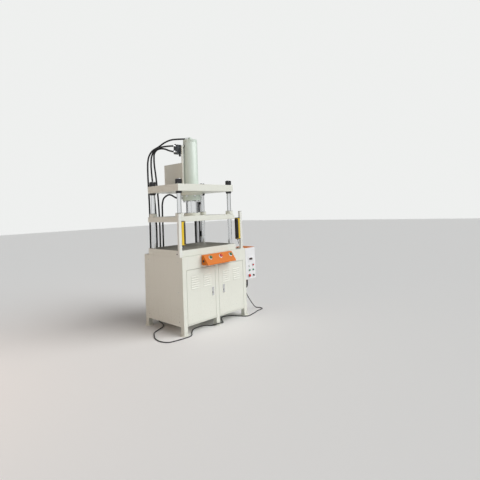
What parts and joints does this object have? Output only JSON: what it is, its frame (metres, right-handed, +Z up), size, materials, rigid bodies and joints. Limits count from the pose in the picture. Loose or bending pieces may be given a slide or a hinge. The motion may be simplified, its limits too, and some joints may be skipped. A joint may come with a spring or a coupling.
{
  "type": "four-column hydraulic press",
  "caption": "Four-column hydraulic press: cabinet base with louvred doors, table, guided slide, top cylinder, two-hand box, light curtain and side control box.",
  "frame": {"origin": "middle of the press's footprint on the floor", "axes": "+Z up, -Y towards the operator at the doors, +X towards the control box"},
  "size_m": [1.6875, 1.053, 2.342],
  "materials": {
    "cream_paint": "semi-gloss",
    "tank_paint": "satin",
    "mint_paint": "gloss",
    "orange_paint": "semi-gloss",
    "motor_paint": "semi-gloss",
    "chrome": "polished",
    "black_oxide": "black oxide",
    "grey_iron": "matte",
    "aluminium": "satin",
    "black_plastic": "matte",
    "black_rubber": "matte",
    "yellow_plastic": "semi-gloss",
    "white_plastic": "semi-gloss",
    "green_plastic": "gloss",
    "red_plastic": "gloss",
    "grey_plastic": "satin"
  },
  "bodies": {
    "press": {"back_panel": "cream_paint", "cabinet_frame": "cream_paint", "cable_conduit": "black_rubber", "clamp_flange": "cream_paint", "column_back_left": "chrome", "column_back_right": "chrome", "column_front_left": "chrome", "column_front_right": "chrome", "control_box": "orange_paint", "control_panel": "grey_plastic", "cord_coil": "black_rubber", "cord_gland": "black_plastic", "crown": "cream_paint", "crown_nut_back_left": "black_oxide", "crown_nut_back_right": "black_oxide", "crown_nut_front_left": "black_oxide", "crown_nut_front_right": "black_oxide", "cylinder_barrel": "mint_paint", "cylinder_head": "mint_paint", "cylinder_hose": "black_rubber", "electric_motor": "motor_paint", "fill_valve": "grey_iron", "head_hose": "black_rubber", "header_tank": "tank_paint", "hydraulic_pump": "grey_iron", "left_light_curtain": "yellow_plastic", "left_post": "white_plastic", "left_side_panel": "cream_paint", "limit_rail": "aluminium", "lower_valve_hose": "black_rubber", "oil_tank": "tank_paint", "plug": "black_plastic", "rail_conduit": "black_plastic", "right_light_curtain": "yellow_plastic", "right_post": "white_plastic", "right_side_panel": "cream_paint", "suction_pipe": "cream_paint", "supply_cord": "black_rubber", "switch_channel": "black_oxide", "table": "cream_paint", "two_hand_box": "orange_paint", "upper_valve_hose": "black_rubber", "valve_block": "black_oxide"},
    "slide": {"slide": "cream_paint", "ram": "chrome", "ram_flange": "cream_paint", "trip_cam": "black_oxide"},
    "left_door": {"left_door": "cream_paint"},
    "right_door": {"right_door": "cream_paint"},
    "left_latch": {"left_door_latch": "chrome"},
    "right_latch": {"right_door_latch": "chrome"},
    "left_run_button": {"left_run_button": "green_plastic"},
    "right_run_button": {"right_run_button": "green_plastic"},
    "two_hand_stop": {"two_hand_stop": "red_plastic"},
    "white_button": {"white_button": "grey_plastic"},
    "red_button": {"red_button": "red_plastic"},
    "left_green_button": {"left_green_button": "green_plastic"},
    "right_green_button": {"right_green_button": "green_plastic"},
    "panel_stop": {"panel_stop": "red_plastic"},
    "selector": {"selector_knob": "black_plastic"}
  },
  "joints": [
    {"name": "slide_stroke", "type": "slide", "parent": "press", "child": "slide", "axis": [0, 0, 1], "range_m": [-0.28, 0.11]},
    {"name": "left_door_hinge", "type": "hinge", "parent": "press", "child": "left_door", "pos_m": [-0.54165, -0.3405, 0.42], "axis": [0, 0, -1], "range_deg": [0, 105]},
    {"name": "right_door_hinge", "type": "hinge", "parent": "press", "child": "right_door", "pos_m": [0.38235, -0.3405, 0.42], "axis": [0, 0, 1], "range_deg": [0, 105]},
    {"name": "left_latch_hinge", "type": "hinge", "parent": "left_door", "child": "left_latch", "pos_m": [-0.15365, -0.35, 0.471], "axis": [-1, 0, 0], "range_deg": [0, 40]},
    {"name": "right_latch_hinge", "type": "hinge", "parent": "right_door", "child": "right_latch", "pos_m": [0.02935, -0.35, 0.471], "axis": [-1, 0, 0], "range_deg": [0, 40]},
    {"name": "left_run_button_push", "type": "slide", "parent": "press", "child": "left_run_button", "axis": [0, 0.8106, -0.5855], "range_m": [0, 0.005], "stiffness_N_per_m": 600, "springref_m": -0.003},
    {"name": "right_run_button_push", "type": "slide", "parent": "press", "child": "right_run_button", "axis": [0, 0.8106, -0.5855], "range_m": [0, 0.005], "stiffness_N_per_m": 600, "springref_m": -0.003},
    {"name": "two_hand_stop_push", "type": "slide", "parent": "press", "child": "two_hand_stop", "axis": [0, 0.8106, -0.5855], "range_m": [0, 0.004]},
    {"name": "white_button_push", "type": "slide", "parent": "press", "child": "white_button", "axis": [0, 1, 0], "range_m": [0, 0.003], "stiffness_N_per_m": 500, "springref_m": -0.002},
    {"name": "red_button_push", "type": "slide", "parent": "press", "child": "red_button", "axis": [0, 1, 0], "range_m": [0, 0.003], "stiffness_N_per_m": 500, "springref_m": -0.002},
    {"name": "left_green_button_push", "type": "slide", "parent": "press", "child": "left_green_button", "axis": [0, 1, 0], "range_m": [0, 0.003], "stiffness_N_per_m": 500, "springref_m": -0.002},
    {"name": "right_green_button_push", "type": "slide", "parent": "press", "child": "right_green_button", "axis": [0, 1, 0], "range_m": [0, 0.003], "stiffness_N_per_m": 500, "springref_m": -0.002},
    {"name": "panel_stop_push", "type": "slide", "parent": "press", "child": "panel_stop", "axis": [0, 1, 0], "range_m": [0, 0.004]},
    {"name": "selector_turn", "type": "hinge", "parent": "press", "child": "selector", "pos_m": [0.60035, -0.3485, 0.504], "axis": [0, -1, 0], "range_deg": [-45, 45]}
  ]
}
